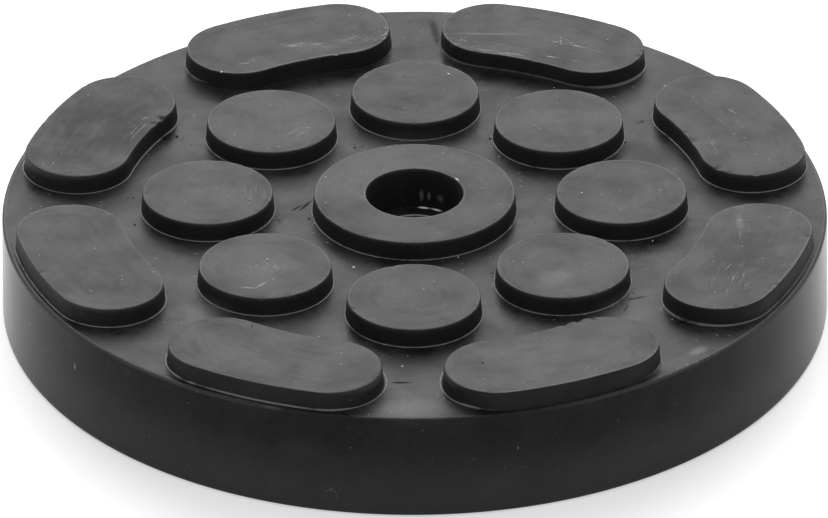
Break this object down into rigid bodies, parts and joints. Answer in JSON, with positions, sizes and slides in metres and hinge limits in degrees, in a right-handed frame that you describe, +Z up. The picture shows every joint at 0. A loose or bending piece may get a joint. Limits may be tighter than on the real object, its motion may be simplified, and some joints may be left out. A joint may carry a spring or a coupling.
{
  "type": "lift rubber pad",
  "caption": "Round rubber pad for a vehicle lift arm, with a raised tread of ring, bosses and curved lugs and a stepped centre hole for a cap screw.",
  "frame": {"origin": "centre of the flat underside, on the axis of the centre hole", "axes": "+Z up along the axis of the centre hole, out of the tread; +X and +Y each pass over the middle of a round boss"},
  "size_m": [0.1208, 0.1208, 0.0183],
  "materials": {
    "rubber": "moulded black rubber, satin, lightly scuffed"
  },
  "bodies": {
    "root": {"rubber_pad": "rubber"}
  },
  "joints": []
}
